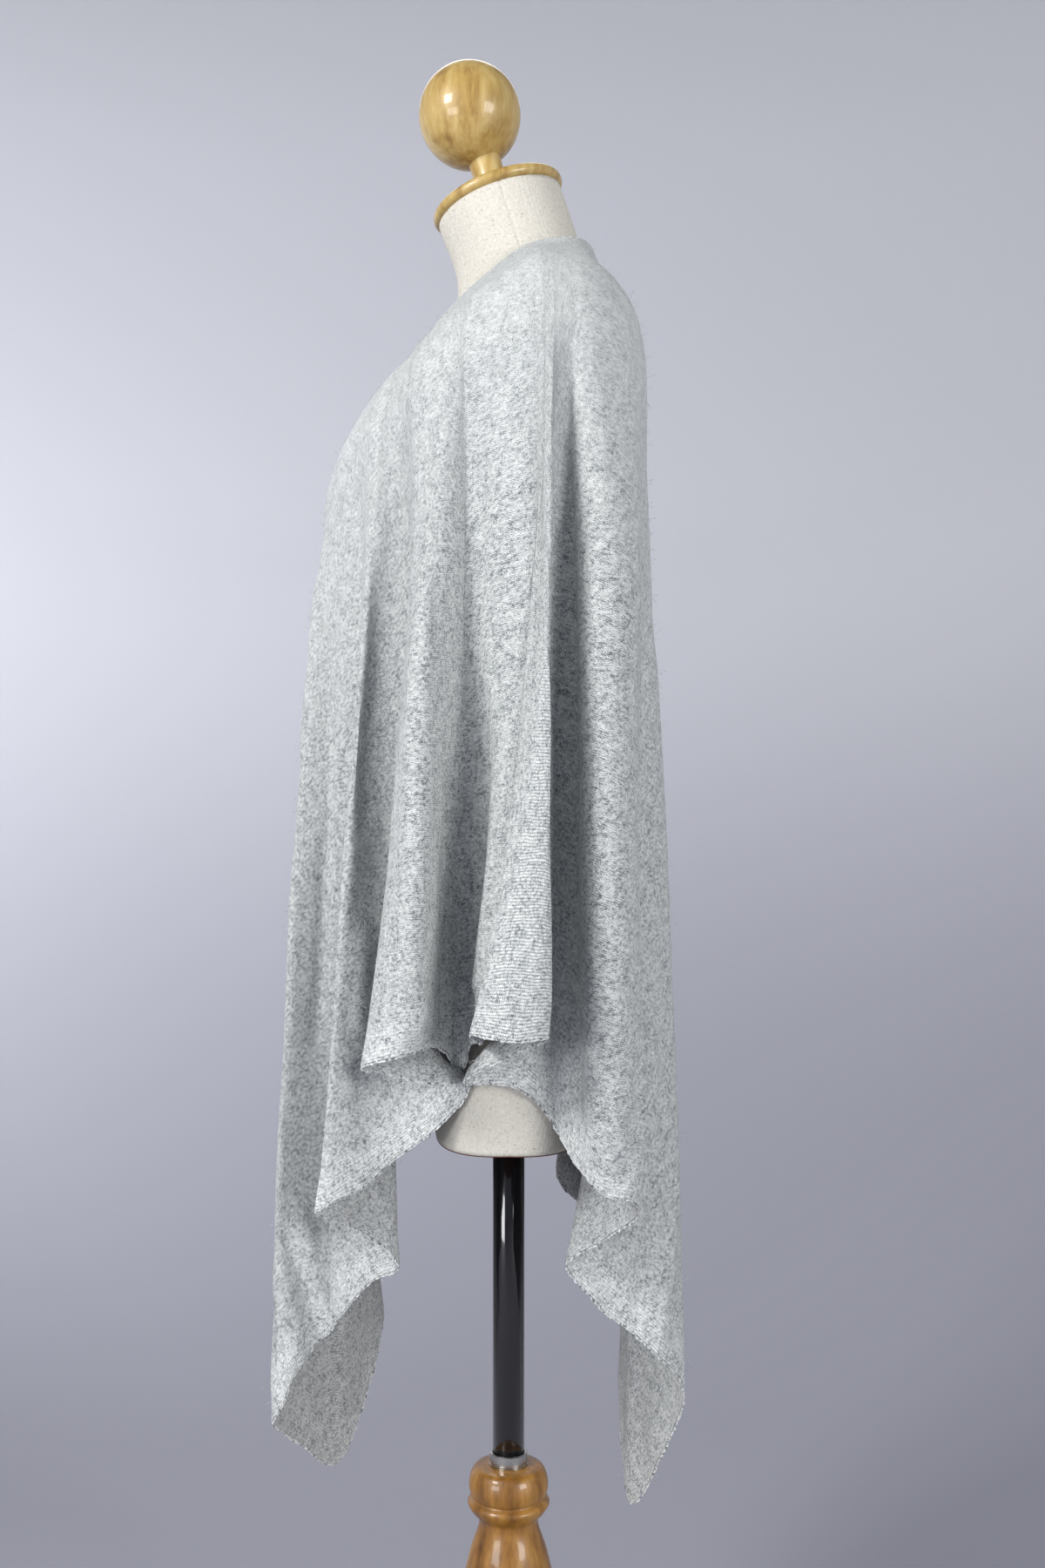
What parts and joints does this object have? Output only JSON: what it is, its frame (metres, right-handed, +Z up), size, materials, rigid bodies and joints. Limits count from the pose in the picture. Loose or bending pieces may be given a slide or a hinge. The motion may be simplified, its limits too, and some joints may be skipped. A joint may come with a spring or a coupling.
{
  "type": "knitted poncho sweater on a limbless dress form",
  "caption": "Heather-grey knitted poncho, seamed on one shoulder and hanging in pointed folds, on a linen dress form with a ball finial and a turned stand.",
  "frame": {"origin": "on the floor, at the centre of the stand's flat underside", "axes": "+Z up the pole, -Y to the front of the garment, +X to the wearer's left"},
  "size_m": [0.446, 0.37, 1.4783],
  "materials": {
    "knit": "heather-grey stockinette knit, matt",
    "linen": "natural linen, matt",
    "pale_wood": "honey-coloured lacquered wood",
    "dark_wood": "amber lacquered wood",
    "pole_paint": "black gloss",
    "chrome": "polished"
  },
  "bodies": {
    "root": {"poncho_front": "knit", "poncho_back": "knit", "torso": "linen", "neck_cap": "pale_wood", "ball_finial": "pale_wood", "pole": "pole_paint", "pole_collar": "chrome", "stand": "dark_wood"}
  },
  "joints": []
}
